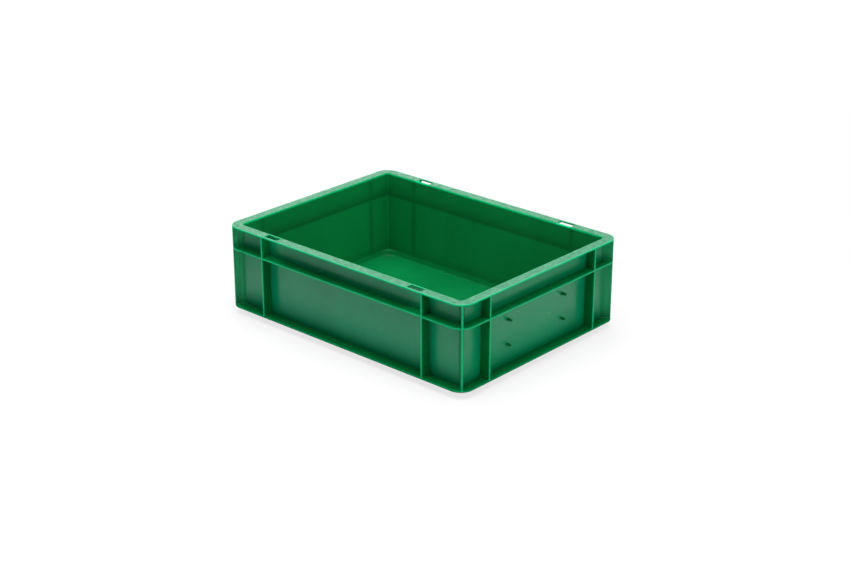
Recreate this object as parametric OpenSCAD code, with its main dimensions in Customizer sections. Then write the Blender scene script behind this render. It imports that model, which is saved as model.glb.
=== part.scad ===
// Straight-walled stacking crate, open at the top.
// +Z up, origin at the centre of the underside, X along the long side.
// front = -Y, back = +Y, left = -X, right = +X (the label pegs are on the right).

/* [Outline] */
// Outside length at the rim and flanges
body_l = 400; // [320:5:600]
// Outside width at the rim and flanges
body_w = 300; // [250:5:400]
// Overall height
body_h = 120; // [100:1:200]
// Outer corner radius of rim and flanges
corner_r = 18; // [17:0.5:30]

/* [Walls] */
// Wall thickness
wall_t = 2; // [1.5:0.1:2.5]
// Rim width from the outer edge to the inside face of the wall
lip_w = 15; // [13:0.5:15.5]
// Wall draft in degrees
draft = 0.7; // [0.4:0.1:0.9]
// Floor thickness
floor_t = 2; // [1.5:0.1:4]

/* [Rim and flanges] */
// Thickness of the rim plate
rim_t = 2; // [1.5:0.1:4]
// Radius on the inner top edge of the rim
rim_round_r = 2.5; // [0.5:0.1:4]
// Thickness of the band and base flanges
flange_t = 2; // [1.5:0.1:4]
// Height of the middle of the band flange
band_z = 89.4; // [75:0.1:105]
// Height of the underside of the base flange
base_z = 8.75; // [6:0.05:14]

/* [Ribs] */
// Thickness of every vertical rib
rib_t = 2.2; // [1.5:0.1:3]
// Distance of the front and back ribs from the middle
rib_x = 135.5; // [134:0.5:140]
// Distance of the left and right ribs from the middle
rib_y = 100.5; // [60:0.5:105]

/* [Rim slots] */
// Length of each slot
slot_l = 22.5; // [12:0.5:40]
// Distance of the outer end of a slot from the middle
slot_end = 132.5; // [75:0.5:134]
// Width of each slot, no further than the wall
slot_w = 9.3; // [5:0.1:12]
// Width of the strip left outside each slot
slot_strip = 2.7; // [1:0.1:5]

/* [Stacking foot] */
// Side clearance between the foot and the rim of the crate below
foot_gap = 0.4; // [0.3:0.05:0.8]
// Inner corner radius of the foot
foot_r = 18; // [8:0.5:24]
// Radius on the bottom outer edge of the foot
foot_edge_r = 1.9; // [0.5:0.1:1.9]
// Thickness of the ledge over each foot corner
ledge_t = 2; // [1:0.1:3]

/* [Label pegs] */
// Distance of the pegs from the middle of the right side
peg_y = 52.5; // [30:0.5:80]
// Height of the lower pegs
peg_low_z = 37.3; // [20:0.1:50]
// Height of the upper pegs
peg_high_z = 70.1; // [55:0.1:84]
// Peg radius
peg_r = 1.6; // [0.6:0.1:2]
// Length a peg stands out from the wall
peg_l = 6.5; // [2:0.5:8]

/* [Hidden] */

green = [0.10, 0.50, 0.33];
half_l = body_l / 2;
half_w = body_w / 2;
run_l = half_l - corner_r;         // half the straight run of the front and back
run_w = half_w - corner_r;         // half the straight run of the left and right
skirt_w = lip_w - wall_t;          // overhang of the rim outside the wall at the top
rim_low = body_h - rim_t;          // underside of the rim plate
wall_top = body_h - rim_round_r;   // where the wall meets the rim
base_top = base_z + flange_t;
band_lo = band_z - flange_t / 2;
band_hi = band_z + flange_t / 2;
foot_out = lip_w + foot_gap;       // inset of the outside of the foot
foot_in = foot_out + wall_t;       // inset of the inside of the foot at the floor
foot_low = min(floor_t, base_z - ledge_t - 1);   // where the inside of the foot starts to lean
eps = 0.01;

// inset of the outer wall face from the outline at height z
function wall_out(z) = skirt_w + (wall_top - z) * tan(draft);

// the inside of the foot leans out to meet the inside of the wall without a step
foot_lean = (foot_in - wall_out(base_z) - wall_t) / (base_z - foot_low);
function foot_face(z) = foot_in - (z - foot_low) * foot_lean;

// ---- sections, drawn as [inset from the outline, height] ----

module wall_section() {
  a = wall_out(base_z);
  polygon([[a, base_z], [a + wall_t, base_z], [lip_w, wall_top], [skirt_w, wall_top]]);
}

// a flat flange from the outline to the wall, between two heights
module flange_section(lo, hi) {
  polygon([[0, lo], [wall_out(lo), lo], [wall_out(hi), hi], [0, hi]]);
}

module rim_section() {
  c = [lip_w - rim_round_r, wall_top];
  difference() {
    polygon([[0, rim_low], [skirt_w, rim_low], [skirt_w, wall_top],
             [lip_w, wall_top], [lip_w, body_h], [0, body_h]]);
    difference() {
      translate(c) square(rim_round_r + eps);
      translate(c) circle(r = rim_round_r, $fn = 64);
    }
  }
}

module rib_section() {
  polygon([[0, base_top], [wall_out(base_top), base_top],
           [skirt_w, wall_top], [skirt_w, rim_low], [0, rim_low]]);
}

module foot_section(top) {
  difference() {
    polygon([[foot_out, 0], [foot_in, 0], [foot_in, foot_low],
             [foot_face(top), top], [foot_out, top]]);
    difference() {
      translate([foot_out - eps, -eps]) square([foot_edge_r + eps, foot_edge_r + eps]);
      translate([foot_out + foot_edge_r, foot_edge_r]) circle(r = foot_edge_r, $fn = 64);
    }
  }
}

// ---- placing a section along a side or round a corner ----

// section run along one side: s = 0 front, 1 right, 2 back, 3 left
module along(s, from, to) {
  long = s % 2 == 0;
  rotate([0, 0, 90 * s])
    translate([from, -(long ? half_w : half_l), 0])
      rotate([90, 0, 90]) linear_extrude(to - from) children();
}

// local frame of a corner: q = 0 front right, 1 back right, 2 back left, 3 front left,
// origin on the corner axis, +X and +Y pointing outwards
module at_corner(q) {
  sx = q < 2 ? 1 : -1;
  sy = q == 1 || q == 2 ? 1 : -1;
  translate([sx * run_l, sy * run_w, 0])
    rotate([0, 0, 90 * (q - 1)]) children();
}

// section turned through the quarter from angle a to angle a + sweep
module round_corner(a = 0, sweep = 90, axis_in = corner_r) {
  rotate([0, 0, a]) rotate_extrude(angle = sweep, $fn = 96)
    translate([axis_in, 0]) mirror([1, 0]) children();
}

// ---- floor and stacking foot ----

module rounded_plan(l, w, r) {
  square([l - 2 * r, w], center = true);
  square([l, w - 2 * r], center = true);
  for (x = [-1, 1], y = [-1, 1])
    translate([x * (l / 2 - r), y * (w / 2 - r)]) circle(r = r, $fn = 96);
}

module floor_panel() {
  color(green) linear_extrude(floor_t)
    rounded_plan(body_l - 2 * foot_in, body_w - 2 * foot_in, foot_r);
}

module foot_side(s) {
  h = (s % 2 == 0 ? half_l : half_w) - foot_in - foot_r;
  color(green) along(s, -h, h) foot_section(base_z);
}

// ring round the corner with a ledge over it that carries the wall corner
module foot_corner(q) {
  off = corner_r - foot_in - foot_r;   // corner axis of the foot from the corner axis of the rim
  out = corner_r - foot_out;
  color(green) at_corner(q) {
    translate([off, off, 0]) round_corner(0, 90, foot_in + foot_r) foot_section(base_z - ledge_t);
    difference() {
      translate([0, 0, base_z - ledge_t]) linear_extrude(ledge_t) union() {
        translate([off, off]) square([-off, out - off]);
        translate([off, off]) square([out - off, -off]);
        intersection() {
          circle(r = out, $fn = 64);
          square(out);
        }
      }
      translate([off, off, base_z - 2 * ledge_t])
        cylinder(r1 = foot_r + foot_in - foot_face(base_z - 2 * ledge_t),
                 r2 = foot_r + foot_in - foot_face(base_z + ledge_t), h = 3 * ledge_t, $fn = 96);
    }
  }
}

// ---- walls ----

module wall_side(s) {
  h = s % 2 == 0 ? run_l : run_w;
  color(green) along(s, -h, h) wall_section();
}

module wall_corner(q) {
  color(green) at_corner(q) round_corner() wall_section();
}

// ---- flanges ----

module base_flange_side(s) {
  h = s % 2 == 0 ? run_l : run_w;
  color(green) along(s, -h, h) flange_section(base_z, base_top);
}

module base_flange_corner(q) {
  color(green) at_corner(q) round_corner() flange_section(base_z, base_top);
}

// the band stops at each rib, so a side has three lengths of it
module band_side(s) {
  h = s % 2 == 0 ? run_l : run_w;
  rib = s % 2 == 0 ? rib_x : rib_y;
  color(green) {
    along(s, -h, -rib - rib_t / 2) flange_section(band_lo, band_hi);
    along(s, -rib + rib_t / 2, rib - rib_t / 2) flange_section(band_lo, band_hi);
    along(s, rib + rib_t / 2, h) flange_section(band_lo, band_hi);
  }
}

module rib_slab(grow) {
  rotate([0, 0, 45]) translate([-grow, -rib_t / 2, 0])
    cube([corner_r + 2 * grow, rib_t, body_h]);
}

module band_corner(q) {
  color(green) at_corner(q) difference() {
    round_corner() flange_section(band_lo, band_hi);
    rib_slab(5);
  }
}

// ---- ribs ----

module ribs_side(s) {
  rib = s % 2 == 0 ? rib_x : rib_y;
  color(green) for (i = [-1, 1])
    along(s, i * rib - rib_t / 2, i * rib + rib_t / 2) rib_section();
}

// plate at 45 degrees, trimmed to the outline and to the rounded wall corner
module corner_rib(q) {
  color(green) at_corner(q) intersection() {
    round_corner() rib_section();
    rib_slab(5);
  }
}

// ---- rim ----

module slot_cutter(i) {
  translate([i > 0 ? slot_end - slot_l : -slot_end, slot_strip, rim_low - 1])
    cube([slot_l, min(slot_w, skirt_w - slot_strip), rim_t + 2]);
}

module rim_side(s) {
  long = s % 2 == 0;
  h = long ? run_l : run_w;
  color(green) difference() {
    along(s, -h, h) rim_section();
    if (long) rotate([0, 0, 90 * s]) translate([0, -half_w, 0])
      for (i = [-1, 1]) slot_cutter(i);
  }
}

module rim_corner(q) {
  color(green) at_corner(q) round_corner() rim_section();
}

// ---- label pegs ----

module label_pegs() {
  color(green) for (y = [-peg_y, peg_y], z = [peg_low_z, peg_high_z])
    difference() {
      translate([half_l - wall_out(z) - 1, y, z])
        rotate([0, 90, 0]) cylinder(r = peg_r, h = peg_l + 1, $fn = 32);
      along(1, y - 2 * peg_r, y + 2 * peg_r) polygon([
        [wall_out(z - 3), z - 3], [wall_out(z - 3) + 4, z - 3],
        [wall_out(z + 3) + 4, z + 3], [wall_out(z + 3), z + 3]]);
    }
}

floor_panel();
foot_side(0);  // foot_front
foot_side(2);  // foot_back
foot_side(3);  // foot_left
foot_side(1);  // foot_right
foot_corner(3);  // foot_corner_front_left
foot_corner(0);  // foot_corner_front_right
foot_corner(2);  // foot_corner_back_left
foot_corner(1);  // foot_corner_back_right
wall_side(0);  // wall_front
wall_side(2);  // wall_back
wall_side(3);  // wall_left
wall_side(1);  // wall_right
wall_corner(3);  // wall_corner_front_left
wall_corner(0);  // wall_corner_front_right
wall_corner(2);  // wall_corner_back_left
wall_corner(1);  // wall_corner_back_right
base_flange_side(0);  // base_flange_front
base_flange_side(2);  // base_flange_back
base_flange_side(3);  // base_flange_left
base_flange_side(1);  // base_flange_right
base_flange_corner(3);  // base_flange_corner_front_left
base_flange_corner(0);  // base_flange_corner_front_right
base_flange_corner(2);  // base_flange_corner_back_left
base_flange_corner(1);  // base_flange_corner_back_right
band_side(0);  // band_front
band_side(2);  // band_back
band_side(3);  // band_left
band_side(1);  // band_right
band_corner(3);  // band_corner_front_left
band_corner(0);  // band_corner_front_right
band_corner(2);  // band_corner_back_left
band_corner(1);  // band_corner_back_right
ribs_side(0);  // ribs_front
ribs_side(2);  // ribs_back
ribs_side(3);  // ribs_left
ribs_side(1);  // ribs_right
corner_rib(3);  // corner_rib_front_left
corner_rib(0);  // corner_rib_front_right
corner_rib(2);  // corner_rib_back_left
corner_rib(1);  // corner_rib_back_right
rim_side(0);  // rim_front
rim_side(2);  // rim_back
rim_side(3);  // rim_left
rim_side(1);  // rim_right
rim_corner(3);  // rim_corner_front_left
rim_corner(0);  // rim_corner_front_right
rim_corner(2);  // rim_corner_back_left
rim_corner(1);  // rim_corner_back_right
label_pegs();
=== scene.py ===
import math

import bmesh
import bpy
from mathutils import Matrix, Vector


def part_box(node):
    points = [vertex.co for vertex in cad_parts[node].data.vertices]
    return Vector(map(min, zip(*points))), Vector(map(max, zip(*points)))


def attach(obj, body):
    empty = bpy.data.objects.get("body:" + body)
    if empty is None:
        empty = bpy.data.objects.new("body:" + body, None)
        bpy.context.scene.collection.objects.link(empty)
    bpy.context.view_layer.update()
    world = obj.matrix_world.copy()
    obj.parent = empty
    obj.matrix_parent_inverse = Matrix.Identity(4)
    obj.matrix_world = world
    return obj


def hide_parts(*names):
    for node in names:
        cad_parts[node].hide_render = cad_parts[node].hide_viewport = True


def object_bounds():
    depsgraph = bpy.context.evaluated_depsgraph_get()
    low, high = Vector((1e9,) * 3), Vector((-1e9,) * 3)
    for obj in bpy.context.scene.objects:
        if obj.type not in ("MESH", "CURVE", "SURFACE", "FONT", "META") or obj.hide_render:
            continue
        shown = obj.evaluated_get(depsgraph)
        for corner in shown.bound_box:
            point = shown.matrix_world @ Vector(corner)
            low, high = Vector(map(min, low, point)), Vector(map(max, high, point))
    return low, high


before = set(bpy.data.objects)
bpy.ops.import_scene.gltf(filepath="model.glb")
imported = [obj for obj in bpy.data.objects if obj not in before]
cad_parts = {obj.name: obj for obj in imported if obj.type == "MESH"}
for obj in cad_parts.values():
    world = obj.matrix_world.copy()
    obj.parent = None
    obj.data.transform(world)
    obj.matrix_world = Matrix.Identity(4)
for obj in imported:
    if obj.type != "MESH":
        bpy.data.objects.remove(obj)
CAD_LO, CAD_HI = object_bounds()
MM = 0.001

# ---------------------------------------------------------------- measures, mm


def box(node):
    """Lowest and highest corner of a CAD node in mm."""
    lo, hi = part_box(node)
    return lo / MM, hi / MM


def levels(node, axis):
    """The different absolute coordinates that a CAD node's vertices have along an axis, in mm."""
    return sorted({round(abs(v.co[axis]) / MM, 3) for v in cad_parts[node].data.vertices})


HALF_L, HALF_W, TOP = (CAD_HI.x / MM, CAD_HI.y / MM, CAD_HI.z / MM)
RUN_L = box("rim_front")[1].x              # half the straight run of a long side
RUN_W = box("rim_right")[1].y
CORNER_R = HALF_L - RUN_L
LIP = box("rim_front")[1].y + HALF_W       # inset of the wall's inside face at the top
WALL_TOP = box("rim_front")[0].z
RIM_LOW = box("ribs_front")[1].z
WALL_T = LIP - (box("wall_front")[0].y + HALF_W)
SKIRT = LIP - WALL_T                       # inset of the wall's outside face at the top
WALL_LOW = box("wall_front")[0].z
WALL_IN_LOW = box("wall_front")[1].y + HALF_W
SLOPE = (WALL_IN_LOW - LIP) / (WALL_TOP - WALL_LOW)
BAND_LO, BAND_HI = box("band_front")[0].z, box("band_front")[1].z
BASE_LO, BASE_HI = box("base_flange_front")[0].z, box("base_flange_front")[1].z
RIB_IN_X, RIB_OUT_X = levels("ribs_front", 0)[0], levels("ribs_front", 0)[-1]
RIB_IN_Y, RIB_OUT_Y = levels("ribs_right", 1)[0], levels("ribs_right", 1)[-1]
RIB_T = RIB_OUT_X - RIB_IN_X
FOOT_OUT = box("foot_front")[0].y + HALF_W
FOOT_IN = box("foot_front")[1].y + HALF_W
FOOT_RUN_L = box("foot_front")[1].x
FOOT_RUN_W = box("foot_right")[1].y
FOOT_AXIS = HALF_L - FOOT_RUN_L            # inset of the axis of the foot's rounded corners
FLOOR_T = box("floor_panel")[1].z
SLOT_X = [x for x in levels("rim_front", 0) if x < RUN_L - 1]
SLOT_IN, SLOT_OUT = SLOT_X[0], SLOT_X[-1]
SLOT_DEEP, SLOT_STRIP = (HALF_W - y for y in levels("rim_front", 1)[-3:-1])

EDGE_R = 0.4                               # rounding on the outer edges of the moulding
RIM_EDGE_R = 0.45                          # rounding on the top outer edge of the rim
ROOT_R = 0.6                               # fillet where a flange or rib leaves the wall
BURIED = 0.8                               # how far a root runs on inside the wall
SUNK = 0.02                                # a rib's face lies this far behind the flange's
PALE_FULL, PALE_END = 0.6, 1.7             # insets between which the painted light on an outer edge fades
EDGE_STRIP = 1.8                           # inset of the first line of points past that
INNER_ROUND = (2.8, 2.0, 2.2)              # width, drop and squareness of the rim's inner edge
BRIGHT_RIM = 0.1                           # strip of the rim beside its inner roundover
SLOT_SOFT = 0.4                            # how far the painted light on a slot's edge runs past its end
SLOT_CORNER_R = 1.0                        # corners of a slot, seen from above
SLOT_ROUND = 0.3                           # rounding on the edges of a slot
FOOT_EDGE_R = 1.9                          # rounding under the foot
FLOOR_FILLET = 0.7                         # fillet where the floor meets the foot
RIB_FILLET = 0.9                           # fillet where a rib stands on a flange
LEDGE_T = 2.0                              # thickness of the ledge over each foot corner
PEG_ROOT_R = 0.8                           # fillet round the root of a peg
PEG_EDGE_R = 0.5                           # rounding on the end of a peg
STEPS = 16                                 # facets round a corner of the crate
PEG_FACETS = 24
SHARP = math.radians(32.0)                 # edges steeper than this stay sharp


def wall_out(z):
    """Inset of the wall's outside face at a height."""
    return SKIRT + (WALL_TOP - z) * SLOPE


def wall_in(z):
    """Inset of the wall's inside face at a height."""
    return wall_out(z) + WALL_T


def arc(cx, cy, r, a0, a1, n=5):
    """Points on a circle from angle a0 to a1, in degrees."""
    return [(cx + r * math.cos(math.radians(a0 + (a1 - a0) * i / n)),
             cy + r * math.sin(math.radians(a0 + (a1 - a0) * i / n))) for i in range(n + 1)]


# ---------------------------------------------------------------- materials


class Nodes:
    """Short calls for building one material's node tree."""

    def __init__(self, name):
        self.material = bpy.data.materials.new(name)
        self.material.use_nodes = True
        self.tree = self.material.node_tree
        self.shader = self.tree.nodes["Principled BSDF"]
        coords = self.tree.nodes.new("ShaderNodeTexCoord")
        self.at = coords.outputs["Object"]

    def link(self, out, into):
        self.tree.links.new(out, into)

    def set(self, socket, value):
        if isinstance(value, (int, float, tuple)):
            socket.default_value = value
        else:
            self.link(value, socket)

    def math(self, op, a, b=0.0, c=0.0, clamp=False):
        n = self.tree.nodes.new("ShaderNodeMath")
        n.operation, n.use_clamp = op, clamp
        for socket, value in zip(n.inputs, (a, b, c)):
            self.set(socket, value)
        return n.outputs[0]

    def stretch(self, scale):
        n = self.tree.nodes.new("ShaderNodeMapping")
        self.link(self.at, n.inputs["Vector"])
        n.inputs["Scale"].default_value = scale
        return n.outputs[0]

    def noise(self, scale, detail=3.0, rough=0.5, stretch=None, distortion=0.0):
        n = self.tree.nodes.new("ShaderNodeTexNoise")
        self.link(self.at if stretch is None else self.stretch(stretch), n.inputs["Vector"])
        n.inputs["Scale"].default_value = scale
        n.inputs["Detail"].default_value = detail
        n.inputs["Roughness"].default_value = rough
        n.inputs["Distortion"].default_value = distortion
        return n.outputs["Fac"]

    def ramp(self, value, lo, hi, out_lo=0.0, out_hi=1.0, shape="SMOOTHSTEP"):
        n = self.tree.nodes.new("ShaderNodeMapRange")
        n.interpolation_type = shape
        self.set(n.inputs["Value"], value)
        for key, x in (("From Min", lo), ("From Max", hi), ("To Min", out_lo), ("To Max", out_hi)):
            self.set(n.inputs[key], x)
        return n.outputs[0]

    def mix(self, fac, a, b, mode="MIX"):
        n = self.tree.nodes.new("ShaderNodeMix")
        n.data_type, n.blend_type = "RGBA", mode
        self.set(n.inputs["Factor"], fac)
        for key, value in (("A", a), ("B", b)):
            socket = [s for s in n.inputs if s.name == key and s.type == "RGBA"][0]
            self.set(socket, value)
        return [s for s in n.outputs if s.type == "RGBA"][0]

    def axes(self):
        n = self.tree.nodes.new("ShaderNodeSeparateXYZ")
        self.link(self.at, n.inputs[0])
        return n.outputs

    def attribute(self, name):
        n = self.tree.nodes.new("ShaderNodeAttribute")
        n.attribute_name = name
        return n.outputs["Fac"]

    def bump(self, height, distance, strength=1.0, below=None):
        n = self.tree.nodes.new("ShaderNodeBump")
        n.inputs["Strength"].default_value = strength
        n.inputs["Distance"].default_value = distance
        self.link(height, n.inputs["Height"])
        if below is not None:
            self.link(below, n.inputs["Normal"])
        return n.outputs[0]


GREEN_EDGE = (0.0, 0.670, 0.262)            # thin edges let light through and look paler
SCUFF = (0.16, 0.42, 0.28)
SHADE = (0.0, 0.05, 0.010, 1.0)             # where little light comes through the wall
DOWN_WALL = (1.0, 1.0, 0.03)                # stretches that draw noise out into streaks
ALONG_LONG_RIM, ALONG_SHORT_RIM = (0.25, 1.0, 1.0), (1.0, 0.25, 1.0)
FINE_GRAIN = 1400.0                         # scale of the finest noise


def plastic(name, green, roughness, grain=1.0, scuffs=0.09, edge=0.75, root=0.0, bands=(),
            streaks=None, streak_scale=900.0, streak_depth=0.3, streak_height=0.00002,
            streak_gloss=0.0, stipple=0.10, mottle=0.1, waves=0.35, ior=1.46):
    """Satin polypropylene: flow mottling, fine grain, drawing streaks and scuffs, with painted
    light on thin edges, painted shade at the roots, and painted shade bands where a flange or rib
    blocks the light."""
    m = Nodes(name)
    flow = m.noise(9.0, 4.0, 0.55, stretch=(1.0, 1.0, 0.5), distortion=0.6)
    fine = m.noise(FINE_GRAIN, 2.0, 0.6)
    deep = tuple((1.0 - mottle) * c for c in green) + (1.0,)
    pale = tuple((1.0 + mottle) * c for c in green) + (1.0,)
    colour = m.mix(m.ramp(flow, 0.3, 0.7), deep, pale)
    dull = tuple(0.7 * c for c in green) + (1.0,)
    colour = m.mix(m.ramp(fine, 0.3, 0.7, 0.0, stipple), colour, dull)
    lines = None
    if streaks:
        lines = m.noise(streak_scale, 2.0, 0.6, stretch=streaks)
        scored = tuple(0.5 * c for c in green) + (1.0,)
        colour = m.mix(m.ramp(lines, 0.38, 0.62, 0.0, streak_depth), colour, scored)
    # painted shade bands, darkening the colour along each band
    shade = None
    for axis, centre, half, soft_in, soft_out, depth, fade in bands:
        at = m.axes()[axis]
        if axis < 2:
            at = m.math("ABSOLUTE", at)
        below = m.ramp(at, centre - half - soft_in, centre - half)
        above = m.ramp(at, centre + half + soft_out, centre + half, shape="LINEAR")
        above = m.math("POWER", above, fade)
        line = m.math("MULTIPLY", m.math("MULTIPLY", below, above), depth)
        shade = line if shade is None else m.math("MAXIMUM", shade, line)
    if shade is not None:
        colour = m.mix(shade, colour, SHADE)
    # painted shade, darker towards the wall along the root weight
    if root:
        colour = m.mix(m.math("MULTIPLY", m.attribute("root"), root), colour, SHADE)
    # painted light: thin outer edges paler, as where light comes through them
    thin = tuple(min(1.0, green[1] / 0.235) * c for c in GREEN_EDGE)
    colour = m.mix(m.math("MULTIPLY", m.attribute("edge"), edge), colour, (*thin, 1.0))
    long_marks = m.noise(55.0, 5.0, 0.7, stretch=(0.25, 0.25, 3.0), distortion=0.4)
    cross_marks = m.noise(70.0, 5.0, 0.7, stretch=(3.0, 3.0, 0.3), distortion=0.4)
    marks = m.math("MAXIMUM", m.ramp(long_marks, 0.66, 0.74), m.ramp(cross_marks, 0.67, 0.75))
    patches = m.ramp(m.noise(14.0, 2.0), 0.48, 0.66)
    wear = m.math("MULTIPLY", m.math("MULTIPLY", marks, patches), scuffs)
    colour = m.mix(wear, colour, (*SCUFF, 1.0))
    m.link(colour, m.shader.inputs["Base Color"])
    rough = m.math("MULTIPLY_ADD", flow, 0.10, roughness - 0.05)
    rough = m.math("MULTIPLY_ADD", fine, 0.06, rough)
    if streak_gloss:
        rough = m.math("ADD", rough, m.ramp(lines, 0.36, 0.64, -streak_gloss / 2, streak_gloss / 2))
    m.link(m.math("MULTIPLY_ADD", wear, 0.5, rough, clamp=True), m.shader.inputs["Roughness"])
    bump = m.bump(m.noise(26.0, 1.0, 0.4), 0.0006, waves)
    if lines is not None:
        bump = m.bump(lines, streak_height, 0.5, bump)
    m.link(m.bump(fine, 0.00003, 0.5 * grain, bump), m.shader.inputs["Normal"])
    m.shader.inputs["IOR"].default_value = ior
    return m.material


# painted shade bands: (axis, centre, half width, softness below, softness above, depth, fade),
# metres
BAND_BEHIND = (2, 0.0905, 0.0006, 0.0034, 0.026, 0.52, 2.3)
BASE_BEHIND = (2, 0.0125, 0.0010, 0.0040, 0.010, 0.22, 1.2)
LONG_RIB_BEHIND = (0, (RIB_IN_X + RIB_OUT_X) / 2 * MM, 0.0008, 0.005, 0.005, 0.40, 1.0)
SHORT_RIB_BEHIND = (1, (RIB_IN_Y + RIB_OUT_Y) / 2 * MM, 0.0008, 0.005, 0.005, 0.40, 1.0)
LONG_OVER_BAND = (2, BAND_HI * MM, 0.001, 0.0005, 0.021, 0.60, 1.2)
LONG_OVER_BASE = (2, BASE_HI * MM, 0.001, 0.0005, 0.024, 0.74, 1.6)
SHORT_OVER_BAND = (2, BAND_HI * MM, 0.001, 0.0005, 0.013, 0.28, 1.2)
SHORT_OVER_BASE = (2, BASE_HI * MM, 0.001, 0.0005, 0.020, 0.62, 1.7)
CORNER_OVER_BAND = (2, BAND_HI * MM, 0.003, 0.0005, 0.024, 0.88, 1.0)

# The greens below are copies of one plastic, set lighter and darker part by part as painted light
# and shade: paler on the rim, its lip and the corner ribs, darker on the flanges, the ribs and most
# of all the base flange, and darker inside the crate than outside.
OUTSIDE_LONG = plastic("green_pp_outside_long", (0.0, 0.308, 0.134), 0.20, ior=1.43,
                       streaks=DOWN_WALL, streak_depth=0.10, bands=(LONG_OVER_BAND, LONG_OVER_BASE))
OUTSIDE_SHORT = plastic("green_pp_outside_short", (0.0, 0.335, 0.136), 0.20, ior=1.43,
                        streaks=DOWN_WALL, streak_depth=0.10,
                        bands=(SHORT_OVER_BAND, SHORT_OVER_BASE))
OUTSIDE_CORNER = plastic("green_pp_outside_corner", (0.0, 0.350, 0.138), 0.26, ior=1.37,
                         streaks=DOWN_WALL, streak_scale=330.0, streak_depth=0.9,
                         streak_height=0.00010, streak_gloss=0.25,
                         bands=(CORNER_OVER_BAND, SHORT_OVER_BASE))
CORNER_RIB = plastic("green_pp_corner_rib", (0.0, 0.420, 0.152), 0.30, ior=1.33,
                     streaks=DOWN_WALL, streak_scale=330.0, streak_depth=0.6,
                     streak_height=0.00006, streak_gloss=0.2,
                     bands=(SHORT_OVER_BAND, SHORT_OVER_BASE))
FLANGE = plastic("green_pp_flange", (0.0, 0.210, 0.048), 0.24, root=0.18, ior=1.27)
RIB = plastic("green_pp_rib", (0.0, 0.235, 0.055), 0.24, ior=1.27)
BASE_FLANGE = plastic("green_pp_base_flange", (0.0, 0.195, 0.045), 0.45, edge=0.40, root=0.60,
                      ior=1.12)


def rim_plastic(name, streaks):
    """The top of the rim, which has more grain and is scored along its length."""
    return plastic(name, (0.001, 0.345, 0.144), 0.42, grain=1.6, scuffs=0.4, streaks=streaks,
                   streak_scale=640.0, streak_depth=0.68, streak_height=0.00020,
                   streak_gloss=0.20, stipple=0.6, mottle=0.04, waves=0.15)


RIM_X = rim_plastic("green_pp_rim_long", ALONG_LONG_RIM)
RIM_Y = rim_plastic("green_pp_rim_short", ALONG_SHORT_RIM)
RIM_EDGE = plastic("green_pp_rim_edge", (0.0, 0.400, 0.125), 0.30, edge=1.0, root=0.7,
                   ior=1.10)
INSIDE = (0.0, 0.265, 0.062)
INSIDE_LONG = plastic("green_pp_inside_long", (0.0, 0.245, 0.060), 0.34,
                      bands=(BAND_BEHIND, BASE_BEHIND, LONG_RIB_BEHIND))
INSIDE_SHORT = plastic("green_pp_inside_short", INSIDE, 0.34,
                       bands=(BAND_BEHIND, BASE_BEHIND, SHORT_RIB_BEHIND))
INSIDE_CORNER = plastic("green_pp_inside_corner", INSIDE, 0.34, bands=(BAND_BEHIND, BASE_BEHIND))
FLOOR = plastic("green_pp_floor", (0.0, 0.248, 0.064), 0.30, grain=1.3, scuffs=0.3)

# ---------------------------------------------------------------- mesh building


def turned(x, y, quarter):
    """(x, y) turned by a number of quarter turns."""
    for _ in range(quarter % 4):
        x, y = -y, x
    return x, y


def signs(q):
    """Signs of x and y at corner q."""
    return (1 if q < 2 else -1), (1 if q in (1, 2) else -1)


def on_side(s, t):
    """Places (inset, z) at distance t along side s: 0 front, 1 right, 2 back, 3 left."""
    far = HALF_W if s % 2 == 0 else HALF_L
    return lambda inset, z: (*turned(t, -far + inset, s), z)


def on_corner(q, angle, run=None, radius=None):
    """Places (inset, z) at an angle round corner q: 0 front right, 1 back right, 2 back left,
    3 front left."""
    run_x, run_y = run or (RUN_L, RUN_W)
    sx, sy = signs(q)
    r = CORNER_R if radius is None else radius
    c, s = math.cos(math.radians(angle)), math.sin(math.radians(angle))

    def place(inset, z):
        x, y = turned((r - inset) * c, (r - inset) * s, q - 1)
        return sx * run_x + x, sy * run_y + y, z

    return place


def finish_piece(node, bm, materials, pick=None):
    """Makes the piece that stands for a CAD node from a mesh in mm. pick gives the index of a
    face's material from its centre and normal."""
    bmesh.ops.recalc_face_normals(bm, faces=bm.faces)
    bmesh.ops.scale(bm, vec=(MM, MM, MM), verts=bm.verts)
    for f in bm.faces:
        f.smooth = True
    for e in bm.edges:
        e.smooth = len(e.link_faces) == 2 and e.calc_face_angle(0.0) < SHARP
    if pick:
        for f in bm.faces:
            f.material_index = pick(f.calc_center_median() / MM, f.normal)
    mesh = bpy.data.meshes.new("moulded_" + node)
    bm.to_mesh(mesh)
    bm.free()
    for m in materials:
        mesh.materials.append(m)
    piece = bpy.data.objects.new("moulded_" + node, mesh)
    bpy.context.scene.collection.objects.link(piece)
    even = piece.modifiers.new("even_normals", "WEIGHTED_NORMAL")
    even.keep_sharp = True
    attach(piece, "root")
    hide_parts(node)
    return piece


def rings_to_mesh(bm, rings, edge=None, root=None):
    """Joins rings of points into one closed solid with capped ends. edge and root are the weights
    of painted light and painted shade for the points of a ring."""
    layers = [bm.verts.layers.float.get(key) or bm.verts.layers.float.new(key)
              for key in ("edge", "root")]
    made = []
    for ring in rings:
        row = [bm.verts.new(p) for p in ring]
        for layer, weights in zip(layers, (edge, root)):
            for i, v in enumerate(row):
                v[layer] = weights[i] if weights else 0.0
        made.append(row)
    n = len(made[0])
    for a, b in zip(made, made[1:]):
        for i in range(n):
            bm.faces.new((a[i], a[(i + 1) % n], b[(i + 1) % n], b[i]))
    bm.faces.new(made[0])
    bm.faces.new(made[-1][::-1])


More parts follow.
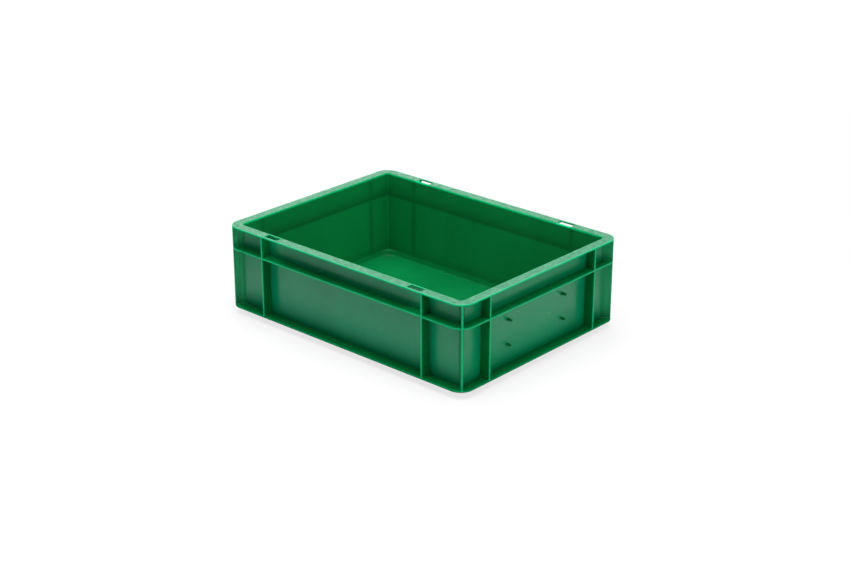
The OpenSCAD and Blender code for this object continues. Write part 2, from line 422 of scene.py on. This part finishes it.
def edge_weight(inset):
    """1 at an outer edge, which light comes through, and 0 a little further in."""
    return max(0.0, min(1.0, (PALE_END - inset) / (PALE_END - PALE_FULL)))


def root_weight(inset, z):
    """Weight of the painted shade: 0 at the edge of a flange and 1 at the wall. The top of the rim
    has none.
    """
    if z > WALL_TOP:
        return 0.0
    return max(0.0, min(1.0, (inset - EDGE_STRIP) / (SKIRT - EDGE_STRIP)))


def sweep(bm, profile, places):
    """Sweeps a closed section of (inset, z) through places."""
    rings = [[place(*p) for p in profile] for place in places]
    rings_to_mesh(bm, rings, [edge_weight(p[0]) for p in profile],
                  [root_weight(*p) for p in profile])


def side_places(s):
    run = RUN_L if s % 2 == 0 else RUN_W
    return [on_side(s, -run), on_side(s, run)]


def corner_places(q):
    return [on_corner(q, 90 * i / STEPS) for i in range(STEPS + 1)]


# ---------------------------------------------------------------- sections


def soft_corner(x, z, width, drop, power, n):
    """Points that leave a flat at (x, z) slowly and end upright, width further in and drop
    lower."""
    points = []
    for i in range(n + 1):
        t = math.radians(90 * i / n)
        points.append((x + width * math.sin(t) ** (2 / power),
                       z - drop + drop * max(math.cos(t), 0.0) ** (2 / power)))
    return points


def rim_section():
    flat_end = LIP - INNER_ROUND[0]
    return (arc(EDGE_R, RIM_LOW + EDGE_R, EDGE_R, 270, 180)
            + arc(RIM_EDGE_R, TOP - RIM_EDGE_R, RIM_EDGE_R, 180, 90)
            + [(EDGE_STRIP, TOP), (flat_end - BRIGHT_RIM, TOP)]
            + soft_corner(flat_end, TOP, *INNER_ROUND, 10)
            + [(LIP, WALL_TOP), (LIP - 1, WALL_TOP - 0.3), (SKIRT + 0.4, RIM_LOW - ROOT_R - 0.2)]
            + arc(SKIRT - ROOT_R, RIM_LOW - ROOT_R, ROOT_R, 0, 90)
            + [(EDGE_STRIP, RIM_LOW)])


def wall_section():
    return [(wall_out(WALL_LOW), WALL_LOW), (wall_in(WALL_LOW), WALL_LOW),
            (LIP, WALL_TOP), (SKIRT, WALL_TOP)]


def flange_section(lo, hi, under=None):
    """A flange from the outer edge to the wall, with rounded edges and root fillets. under is
    the inset where the foot begins below the base flange."""
    top_root = wall_out(hi)
    top = ([(EDGE_STRIP, hi)] + arc(top_root - ROOT_R, hi + ROOT_R, ROOT_R, 270, 360)
           + [(top_root + BURIED, hi + ROOT_R)])
    root = under or wall_out(lo)
    low = ([(root + BURIED, lo - ROOT_R)] + arc(root - ROOT_R, lo - ROOT_R, ROOT_R, 0, 90)
           + [(EDGE_STRIP, lo)])
    return (arc(EDGE_R, lo + EDGE_R, EDGE_R, 270, 180)
            + arc(EDGE_R, hi - EDGE_R, EDGE_R, 180, 90) + top + low)


def foot_section():
    """The foot, whose inside leans out to meet the inside of the wall without a step."""
    f = FLOOR_FILLET
    low = (FOOT_IN, FLOOR_T)
    high = (wall_in(WALL_LOW), WALL_LOW)
    lean = (low[0] - high[0]) / (high[1] - low[1])
    return ([(FOOT_OUT + 0.3, WALL_LOW + 0.4), (FOOT_OUT, WALL_LOW)]
            + arc(FOOT_OUT + FOOT_EDGE_R, FOOT_EDGE_R, FOOT_EDGE_R, 180, 270, 8)
            + [(FOOT_IN, 0), (FOOT_IN, FLOOR_T - 0.3), (FOOT_IN + f, FLOOR_T - 0.3)]
            + arc(FOOT_IN + f, FLOOR_T + f, f, 270, 180)[:-1]
            + [(FOOT_IN - lean * f, FLOOR_T + f), high,
               (high[0] - SLOPE * 0.4 - 0.01, WALL_LOW + 0.4)])


# ---------------------------------------------------------------- pieces

SIDES = {"front": 0, "right": 1, "back": 2, "left": 3}
CORNERS = {"front_right": 0, "back_right": 1, "back_left": 2, "front_left": 3}


def inward(centre, normal):
    """1 for a face that looks into the crate, else 0."""
    x, y = centre.x, centre.y
    dx = max(abs(x) - RUN_L, 0.0) * (1 if x > 0 else -1)
    dy = max(abs(y) - RUN_W, 0.0) * (1 if y > 0 else -1)
    if dx == 0 and dy == 0:
        if HALF_L - abs(x) < HALF_W - abs(y):
            dx = 1 if x > 0 else -1
        else:
            dy = 1 if y > 0 else -1
    return 1 if normal.x * dx + normal.y * dy < -1e-6 else 0


def inset_of(point):
    """Distance of a point in plan from the crate's outline."""
    dx, dy = abs(point.x) - RUN_L, abs(point.y) - RUN_W
    if dx > 0 and dy > 0:
        return CORNER_R - math.hypot(dx, dy)
    return min(HALF_L - abs(point.x), HALF_W - abs(point.y))


def rim_edge(centre, normal):
    """1 for the lip, the inner roundover and the inside of a slot, 0 for the flat of the rim."""
    return 1 if abs(normal.z) < 0.97 or inset_of(centre) > LIP - INNER_ROUND[0] + 0.3 else 0


def build_sections():
    for name, s in SIDES.items():
        long = s % 2 == 0
        faces = [OUTSIDE_LONG, INSIDE_LONG] if long else [OUTSIDE_SHORT, INSIDE_SHORT]
        bm = bmesh.new()
        sweep(bm, wall_section(), side_places(s))
        finish_piece("wall_" + name, bm, faces, inward)
        for kind, section, green in (
                ("band_", flange_section(BAND_LO, BAND_HI), FLANGE),
                ("base_flange_", flange_section(BASE_LO, BASE_HI, FOOT_OUT), BASE_FLANGE)):
            bm = bmesh.new()
            sweep(bm, section, side_places(s))
            finish_piece(kind + name, bm, [green])
        build_rim_side(name, s)
        bm = bmesh.new()
        run = FOOT_RUN_L if long else FOOT_RUN_W
        sweep(bm, foot_section(), [on_side(s, -run), on_side(s, run)])
        finish_piece("foot_" + name, bm, [FLOOR])
        build_ribs(name, s)
    for name, q in CORNERS.items():
        bm = bmesh.new()
        sweep(bm, wall_section(), corner_places(q))
        finish_piece("wall_corner_" + name, bm, [OUTSIDE_CORNER, INSIDE_CORNER], inward)
        for kind, section, green in (
                ("band_corner_", flange_section(BAND_LO, BAND_HI), FLANGE),
                ("base_flange_corner_", flange_section(BASE_LO, BASE_HI, FOOT_OUT), BASE_FLANGE)):
            bm = bmesh.new()
            sweep(bm, section, corner_places(q))
            finish_piece(kind + name, bm, [green])
        bm = bmesh.new()
        sweep(bm, rim_section(), corner_places(q))
        finish_piece("rim_corner_" + name, bm, [RIM_X, RIM_EDGE], rim_edge)
        build_corner_rib(name, q)
        build_foot_corner(name, q)


def build_rim_side(name, s):
    bm = bmesh.new()
    if s % 2 == 0:
        ends = (SLOT_IN - SLOT_SOFT, SLOT_IN + 2 * SLOT_SOFT, SLOT_OUT - 2 * SLOT_SOFT,
                SLOT_OUT + SLOT_SOFT)
        stops = sorted([-x for x in ends] + list(ends))
        sweep(bm, rim_section(), [on_side(s, x) for x in (-RUN_L, *stops, RUN_L)])
        cut_slots(bm, s)
    else:
        sweep(bm, rim_section(), side_places(s))
    finish_piece("rim_" + name, bm, [RIM_X if s % 2 == 0 else RIM_Y, RIM_EDGE], rim_edge)


def cut_slots(bm, s):
    """Cuts the two slots through a long rim, then rounds their edges."""
    body = bpy.data.meshes.new("rim_blank")
    bmesh.ops.recalc_face_normals(bm, faces=bm.faces)
    bm.to_mesh(body)
    blank = bpy.data.objects.new("rim_blank", body)
    cutter_bm = bmesh.new()
    r = SLOT_CORNER_R
    for side in (-1, 1):
        x0, x1 = (SLOT_IN, SLOT_OUT) if side > 0 else (-SLOT_OUT, -SLOT_IN)
        plan = (arc(x1 - r, SLOT_DEEP - r, r, 0, 90, 4)
                + arc(x0 + r, SLOT_DEEP - r, r, 90, 180, 4)
                + arc(x0 + r, SLOT_STRIP + r, r, 180, 270, 4)
                + arc(x1 - r, SLOT_STRIP + r, r, 270, 360, 4))
        rings = [[on_side(s, x)(inset, z) for x, inset in plan] for z in (RIM_LOW - 3, TOP + 3)]
        rings_to_mesh(cutter_bm, rings)
    bmesh.ops.recalc_face_normals(cutter_bm, faces=cutter_bm.faces)
    tool_mesh = bpy.data.meshes.new("slot_tool")
    cutter_bm.to_mesh(tool_mesh)
    cutter_bm.free()
    tool = bpy.data.objects.new("slot_tool", tool_mesh)
    for o in (blank, tool):
        bpy.context.scene.collection.objects.link(o)
    cut = blank.modifiers.new("slots", "BOOLEAN")
    cut.operation, cut.solver, cut.object = "DIFFERENCE", "EXACT", tool
    done = blank.evaluated_get(bpy.context.evaluated_depsgraph_get()).to_mesh()
    bm.clear()
    bm.from_mesh(done)
    for o in (blank, tool):
        bpy.data.objects.remove(o)

    def near_slot(v, by):
        return (SLOT_IN - by < abs(v.co.x) < SLOT_OUT + by
                and SLOT_STRIP - by < HALF_W - abs(v.co.y) < SLOT_DEEP + by)

    rims = [e for e in bm.edges if all(near_slot(v, 0.05) for v in e.verts)
            and abs(e.verts[0].co.z - e.verts[1].co.z) < 1e-4
            and (abs(e.verts[0].co.z - TOP) < 1e-3 or abs(e.verts[0].co.z - RIM_LOW) < 1e-3)
            and e.calc_face_angle(0.0) > 1.0]
    bmesh.ops.bevel(bm, geom=rims, offset=SLOT_ROUND, segments=3, profile=0.5, affect="EDGES",
                    clamp_overlap=True)
    # Painted light and shade round each slot: the upper edges and the rim's top beside the slot are
    # painted paler, the deeper sides darker.
    edge, root = bm.verts.layers.float["edge"], bm.verts.layers.float["root"]
    for v in bm.verts:
        deep = v.co.z < TOP - 1.0
        if near_slot(v, 0.7):
            if deep:
                v[root] = 1.0
            elif v.co.z < TOP - 0.01:
                v[edge] = 1.0
        beside = SLOT_IN + SLOT_SOFT < abs(v.co.x) < SLOT_OUT - SLOT_SOFT
        if beside and HALF_W - abs(v.co.y) > SLOT_DEEP - 0.1:
            v[edge] = 0.0 if deep else 1.0


def rib_plan(root, flare, curved):
    """Plan of a rib as (along, inset), from the outer edge to a flat or curved wall."""
    half, e = RIB_T / 2 + flare, EDGE_R
    foot = root
    if curved:
        foot = CORNER_R - math.sqrt(max((CORNER_R - root) ** 2 - (half + ROOT_R) ** 2, 0.0))
    return (arc(-half + e, SUNK + e, e, 180, 270) + arc(half - e, SUNK + e, e, 270, 360)
            + [(half, EDGE_STRIP)] + arc(half + ROOT_R, foot - ROOT_R, ROOT_R, 180, 90)
            + [(half + ROOT_R, foot + BURIED), (-half - ROOT_R, foot + BURIED)]
            + arc(-half - ROOT_R, foot - ROOT_R, ROOT_R, 90, 0) + [(-half, EDGE_STRIP)])


def rib_levels():
    """Heights of a rib's sections, and how much wider the rib is there: it has a fillet where it
    stands on the base flange and on the band."""
    found = []
    for floor in (BASE_HI, BAND_HI):
        found += [(floor - 0.6, 0.0), (floor - 0.5, RIB_FILLET)]
        found += [(z, RIB_FILLET - flare) for flare, z in arc(0.0, floor + RIB_FILLET, RIB_FILLET,
                                                              -90, 0, 5)]
    return found + [(RIM_LOW + 0.5, 0.0)]


def add_rib(bm, place, curved=False):
    """Adds one rib. place turns (along, inset, z) into a point."""
    rings = []
    for z, flare in rib_levels():
        plan = rib_plan(wall_out(z), flare, curved)
        rings.append([place(u, inset, z) for u, inset in plan])
    rings_to_mesh(bm, rings, [edge_weight(inset) for _, inset in plan])


def build_ribs(name, s):
    middle = (RIB_IN_X + RIB_OUT_X) / 2 if s % 2 == 0 else (RIB_IN_Y + RIB_OUT_Y) / 2
    bm = bmesh.new()
    for at in (-middle, middle):
        add_rib(bm, lambda u, inset, z: on_side(s, at + u)(inset, z))
    finish_piece("ribs_" + name, bm, [RIB])


def build_corner_rib(name, q):
    h = math.sqrt(0.5)
    sx, sy = signs(q)

    def place(u, inset, z):
        out = CORNER_R - inset
        x, y = turned(out * h - u * h, out * h + u * h, q - 1)
        return sx * RUN_L + x, sy * RUN_W + y, z

    bm = bmesh.new()
    add_rib(bm, place, curved=True)
    finish_piece("corner_rib_" + name, bm, [CORNER_RIB])


def reach(angle, inset):
    """Distance from the foot corner's axis to the rounded outline at an inset."""
    a = math.radians(angle if angle <= 45 else 90 - angle)
    flat = FOOT_AXIS - inset
    centre = FOOT_AXIS - CORNER_R
    r = CORNER_R - inset
    if flat * math.tan(a) <= centre:
        return flat / math.cos(a)
    b = centre * (math.cos(a) + math.sin(a))
    return b + math.sqrt(max(b * b - (2 * centre * centre - r * r), 0.0))


def build_foot_corner(name, q):
    """The foot's rounded corner with the ledge over it that carries the wall corner."""
    f, soft, rise = FLOOR_FILLET, 0.4, 0.4
    inner = FOOT_AXIS - FOOT_IN
    outer = FOOT_AXIS - FOOT_OUT
    brim = FOOT_AXIS - wall_in(WALL_LOW)
    lean = (brim - inner) / (WALL_LOW - FLOOR_T)
    rings = []
    for i in range(STEPS + 1):
        angle = 90 * i / STEPS
        out = max(reach(angle, FOOT_OUT), outer + 0.02)
        wall = reach(angle, wall_in(WALL_LOW))
        s = min(soft, 0.45 * (wall - brim)) + 0.001
        profile = ([(reach(angle, FOOT_OUT + 0.3), WALL_LOW + rise), (out, WALL_LOW),
                    (out, WALL_LOW - LEDGE_T), (outer, WALL_LOW - LEDGE_T - 0.01)]
                   + arc(outer - FOOT_EDGE_R, FOOT_EDGE_R, FOOT_EDGE_R, 0, -90, 8)
                   + [(inner, 0), (inner, FLOOR_T - 0.3), (inner - f, FLOOR_T - 0.3)]
                   + arc(inner - f, FLOOR_T + f, f, -90, 0)[:-1]
                   + [(inner + lean * f, FLOOR_T + f)]
                   + arc(brim + s, WALL_LOW - s, s, 180, 90)
                   + arc(wall - s + 0.002, WALL_LOW + s, s, -90, 0)
                   + [(wall + 0.004 + SLOPE * rise, WALL_LOW + max(rise, s + 0.001))])
        place = on_corner(q, angle, run=(FOOT_RUN_L, FOOT_RUN_W), radius=0.0)
        rings.append([place(-r, z) for r, z in profile])
    bm = bmesh.new()
    rings_to_mesh(bm, rings)
    finish_piece("foot_corner_" + name, bm, [FLOOR])


def build_floor():
    plan = []
    for q in range(4):
        for i in range(STEPS + 1):
            x, y, _ = on_corner(q, 90 * i / STEPS, run=(FOOT_RUN_L, FOOT_RUN_W),
                                radius=FOOT_AXIS)(FOOT_IN, 0)
            plan.append((x, y))
    bm = bmesh.new()
    rings_to_mesh(bm, [[(x, y, z) for x, y in plan] for z in (0.0, FLOOR_T)])
    finish_piece("floor_panel", bm, [FLOOR])


def build_pegs():
    lo, hi = box("label_pegs")
    heights = levels("label_pegs", 2)
    lower = [z for z in heights if z < (lo.z + hi.z) / 2]
    r = (lower[-1] - lower[0]) / 2
    length = hi.x - (HALF_L - wall_out(hi.z - r))
    tip = length - PEG_EDGE_R
    bm = bmesh.new()
    for y in (lo.y + r, hi.y - r):
        for z in (lo.z + r, hi.z - r):
            face = HALF_L - wall_out(z)
            line = ([(-0.6, r + 0.9)]
                    + [(x, radius) for radius, x in arc(r + 0.9, PEG_ROOT_R, PEG_ROOT_R, 270, 180)]
                    + [(tip, r - 0.05)]
                    + [(tip + PEG_EDGE_R * math.sin(math.radians(a)),
                        r - 0.05 - PEG_EDGE_R + PEG_EDGE_R * math.cos(math.radians(a)))
                       for a in (30, 60, 90)])
            rings = [[(face + along, y + dy, z + dz)
                      for dy, dz in arc(0, 0, radius, 0, 360, PEG_FACETS)[:-1]]
                     for along, radius in line]
            rings_to_mesh(bm, rings)
    finish_piece("label_pegs", bm, [RIB])


build_sections()
build_floor()
build_pegs()

# ---------------------------------------------------------------- stage, light, camera, metres

WHITE, BLACK = (1.0, 1.0, 1.0, 1.0), (0.0, 0.0, 0.0, 1.0)
DOME_R = 20.0
SHEET_HALF = 8.0
WORLD_LIGHT = 0.03
LAMPS_AIM = Vector((0.0, 0.0, 0.06))
LAMPS = (                                  # name, power, size, place
    ("softbox_top", 56.0, (2.2, 2.2), (0.1, -0.2, 2.2)),
    ("softbox_back", 26.0, (2.5, 1.2), (-1.95, 1.40, 1.0)),
    ("softbox_right", 14.0, (1.4, 1.2), (2.2, 0.3, 0.9)),
    ("softbox_front", 8.3, (1.4, 1.2), (-0.3, -2.2, 0.9)),
    ("softbox_left", 3.0, (1.4, 1.2), (-2.2, -0.8, 1.2)),
)
CAMERA_AT = (1.36523, -1.50705, 0.89417)
CAMERA_ANGLES = (42.033, 22.602)           # azimuth and elevation of the camera from its aim
LENS, SENSOR = 72.83, 36.0                 # mm


def aim(o, at, towards):
    """Puts a lamp or camera at a place in the scene, facing in a direction."""
    o.location = at
    o.rotation_mode = "QUATERNION"
    o.rotation_quaternion = towards.to_track_quat("-Z", "Y")
    bpy.context.scene.collection.objects.link(o)


def area_light(name, power, size, at):
    light = bpy.data.lights.new(name, "AREA")
    light.shape, light.size, light.size_y = "RECTANGLE", size[0], size[1]
    light.energy = power
    aim(bpy.data.objects.new(name, light), at, LAMPS_AIM - Vector(at))


def build_backdrop():
    """A white dome far behind everything that fills the background and lights nothing."""
    bm = bmesh.new()
    bmesh.ops.create_uvsphere(bm, u_segments=48, v_segments=24, radius=DOME_R)
    mesh = bpy.data.meshes.new("studio_backdrop")
    bm.to_mesh(mesh)
    bm.free()
    dome = bpy.data.objects.new("studio_backdrop", mesh)
    bpy.context.scene.collection.objects.link(dome)
    m = Nodes("studio_glow")
    m.shader.inputs["Base Color"].default_value = BLACK
    m.shader.inputs["Emission Color"].default_value = WHITE
    m.shader.inputs["Emission Strength"].default_value = 1.0
    mesh.materials.append(m.material)
    dome.visible_diffuse = dome.visible_glossy = dome.visible_transmission = False
    dome.visible_shadow = False


def build_floor_sheet(name, depth, tone, glow, pool=False):
    """One large pale sheet just under the crate. With pool, it is painted bright only in a ring
    round the crate: painted shadow where the crate's own shadow falls, and painted dimming where
    the lamps' pool of light ends."""
    bm = bmesh.new()
    bmesh.ops.create_grid(bm, x_segments=2, y_segments=2, size=SHEET_HALF)
    mesh = bpy.data.meshes.new(name)
    bm.to_mesh(mesh)
    bm.free()
    sheet = bpy.data.objects.new(name, mesh)
    sheet.location.z = depth
    bpy.context.scene.collection.objects.link(sheet)
    m = Nodes(name + "_white")
    fac = m.ramp(m.noise(3.0, 2.0), 0.3, 0.7, 0.0, 1.0)
    colour = m.mix(fac, (*[tone - 0.01] * 3, 1.0), (*[tone + 0.01] * 3, 1.0))
    # painted shadow round the crate and painted dimming where the lamps' pool of light ends
    if pool:
        axes = m.axes()
        out = [m.math("MAXIMUM", m.math("SUBTRACT", m.math("ABSOLUTE", axes[i]), half * MM), 0.0)
               for i, half in ((0, HALF_L), (1, HALF_W))]
        d = m.math("SQRT", m.math("ADD", m.math("MULTIPLY", out[0], out[0]),
                                  m.math("MULTIPLY", out[1], out[1])))
        near = m.ramp(d, 0.010, 0.065, 0.20, 1.0)
        far = m.ramp(d, 0.105, 0.175, 1.0, 0.45)
        lit = m.math("MULTIPLY", near, far)
        colour = m.mix(lit, BLACK, colour)
    m.link(colour, m.shader.inputs["Base Color"])
    m.shader.inputs["Roughness"].default_value = 0.9
    m.shader.inputs["Specular IOR Level"].default_value = 0.1
    m.shader.inputs["Emission Color"].default_value = WHITE
    if glow:
        reach_out = m.math("SQRT", m.math("ADD", m.math("MULTIPLY", m.axes()[0], m.axes()[0]),
                                          m.math("MULTIPLY", m.axes()[1], m.axes()[1])))
        m.link(m.ramp(reach_out, 0.7, 3.0, glow, 1.0), m.shader.inputs["Emission Strength"])
    mesh.materials.append(m.material)
    return sheet


def build_stage():
    """The floor is two sheets: one throws light back on the crate, the other, lit from within so
    that the crate's shadow on it stays faint, is what the camera sees."""
    bounce = build_floor_sheet("studio_floor_bounce", -0.0006, 0.93, 0.0, pool=True)
    bounce.visible_camera = False
    seen = build_floor_sheet("studio_floor", -0.0002, 0.26, 0.74)
    seen.visible_diffuse = seen.visible_glossy = seen.visible_transmission = False
    seen.visible_shadow = False
    world = bpy.data.worlds.new("studio_world")
    bpy.context.scene.world = world
    world.use_nodes = True
    background = world.node_tree.nodes["Background"]
    background.inputs["Color"].default_value = WHITE
    background.inputs["Strength"].default_value = WORLD_LIGHT
    build_backdrop()


build_stage()
for lamp in LAMPS:
    area_light(*lamp)

camera = bpy.data.cameras.new("camera")
camera.lens, camera.sensor_width = LENS, SENSOR
azimuth, elevation = (math.radians(a) for a in CAMERA_ANGLES)
away = Vector((math.sin(azimuth) * math.cos(elevation),
               -math.cos(azimuth) * math.cos(elevation), math.sin(elevation)))
eye = bpy.data.objects.new("camera", camera)
aim(eye, CAMERA_AT, -away)
bpy.context.scene.camera = eye
bpy.context.scene.view_settings.view_transform = "Standard"
